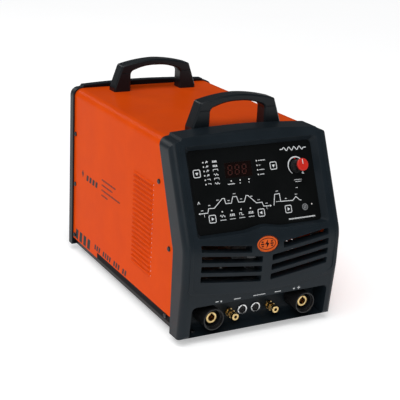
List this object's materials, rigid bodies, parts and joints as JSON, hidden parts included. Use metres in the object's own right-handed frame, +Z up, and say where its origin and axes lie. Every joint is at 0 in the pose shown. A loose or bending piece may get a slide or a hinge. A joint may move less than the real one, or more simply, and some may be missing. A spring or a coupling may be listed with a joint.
{
  "type": "tig welding machine",
  "caption": "Portable TIG welding power source: orange sheet cover between black moulded end frames, leaning control panel, twist-lock weld sockets and gas outlets, arched handles.",
  "frame": {"origin": "on the floor, under the middle of the machine's outer box", "axes": "+X across to the right as seen from the front, +Y from the control panel to the rear, +Z up"},
  "size_m": [0.32, 0.552, 0.416],
  "materials": {
    "frame_plastic": "fine-grained black moulding",
    "handle_plastic": "fine-grained black moulding",
    "panel_film": "satin black film with white line graphics",
    "display_red": "dark red window",
    "display_digit": "red segments",
    "led_lens": "clear lens",
    "key_cap": "satin black with white outline",
    "key_cap_grey": "satin grey",
    "knob_black": "satin black, fluted",
    "knob_red": "gloss red",
    "steel": "zinc-plated sheet",
    "circuit_board": "green circuit board",
    "badge_orange": "gloss orange",
    "tray_black": "black powder coat",
    "foot_rubber": "matt black",
    "cover_orange": "orange powder coat",
    "black_screw": "black oxide",
    "socket_plastic": "black moulding",
    "lever_plastic": "black moulding",
    "brass": "machined brass",
    "chrome": "bright plated",
    "fan_plastic": "black moulding",
    "aluminium": "extruded",
    "winding": "varnished copper and core",
    "capacitor_sleeve": "sleeved aluminium can"
  },
  "bodies": {
    "housing": {"front_bezel": "frame_plastic", "rear_frame": "frame_plastic", "front_handle": "handle_plastic", "rear_handle": "handle_plastic", "faceplate": "panel_film", "display_window": "display_red", "display_digits": "display_digit", "status_leds": "led_lens", "encoder": "steel", "control_board": "circuit_board", "badge": "badge_orange", "base_tray": "tray_black", "foot_front_left": "foot_rubber", "foot_front_right": "foot_rubber", "foot_rear_left": "foot_rubber", "foot_rear_right": "foot_rubber", "cover": "cover_orange", "handle_braces": "steel", "handle_screws": "black_screw", "inner_front_plate": "steel", "front_posts": "steel", "weld_shroud_left": "socket_plastic", "weld_shroud_right": "socket_plastic", "weld_contact_left": "brass", "weld_contact_right": "brass", "gas_fitting_left": "brass", "gas_fitting_right": "brass", "remote_shell_left": "chrome", "remote_shell_right": "chrome", "remote_pins_left": "socket_plastic", "remote_pins_right": "socket_plastic", "rear_panel": "tray_black", "cover_screws": "black_screw", "frame_screws": "black_screw", "fan_frame": "fan_plastic", "fan_guard": "chrome", "main_switch": "socket_plastic", "cable_gland": "socket_plastic", "gas_inlet": "brass", "earth_stud": "brass", "shelf": "steel", "heatsinks": "aluminium", "main_transformer": "winding", "output_choke": "winding", "inverter_board": "circuit_board", "capacitors": "capacitor_sleeve", "gas_valve": "brass"},
    "knob": {"knob_body": "knob_black", "knob_cap": "knob_red"},
    "fan": {"fan_rotor": "fan_plastic"},
    "lever": {"switch_lever": "lever_plastic"},
    "key_mode": {"key_mode": "key_cap"},
    "key_unit": {"key_unit": "key_cap"},
    "key_back": {"key_back": "key_cap"},
    "key_forward": {"key_forward": "key_cap"},
    "key_pulse": {"key_pulse": "key_cap"},
    "key_gas_test": {"key_gas_test": "key_cap_grey"}
  },
  "joints": [
    {"name": "knob_spin", "type": "hinge", "parent": "housing", "child": "knob", "pos_m": [0.0895, -0.20905, 0.29285], "axis": [0, -0.9153, 0.4027], "continuous": true},
    {"name": "fan_spin", "type": "hinge", "parent": "housing", "child": "fan", "pos_m": [0, 0.224, 0.118], "axis": [0, 1, 0], "continuous": true},
    {"name": "lever_throw", "type": "hinge", "parent": "housing", "child": "lever", "pos_m": [-0.084, 0.2415, 0.286], "axis": [1, 0, 0], "range_deg": [0, 50]},
    {"name": "key_mode_press", "type": "slide", "parent": "housing", "child": "key_mode", "axis": [0, 0.9153, -0.4027], "range_m": [0, 0.0008], "stiffness_N_per_m": 500},
    {"name": "key_unit_press", "type": "slide", "parent": "housing", "child": "key_unit", "axis": [0, 0.9153, -0.4027], "range_m": [0, 0.0008], "stiffness_N_per_m": 500},
    {"name": "key_back_press", "type": "slide", "parent": "housing", "child": "key_back", "axis": [0, 0.9153, -0.4027], "range_m": [0, 0.0008], "stiffness_N_per_m": 500},
    {"name": "key_forward_press", "type": "slide", "parent": "housing", "child": "key_forward", "axis": [0, 0.9153, -0.4027], "range_m": [0, 0.0008], "stiffness_N_per_m": 500},
    {"name": "key_pulse_press", "type": "slide", "parent": "housing", "child": "key_pulse", "axis": [0, 0.9153, -0.4027], "range_m": [0, 0.0008], "stiffness_N_per_m": 500},
    {"name": "key_gas_test_press", "type": "slide", "parent": "housing", "child": "key_gas_test", "axis": [0, 0.9153, -0.4027], "range_m": [0, 0.0008], "stiffness_N_per_m": 500}
  ]
}
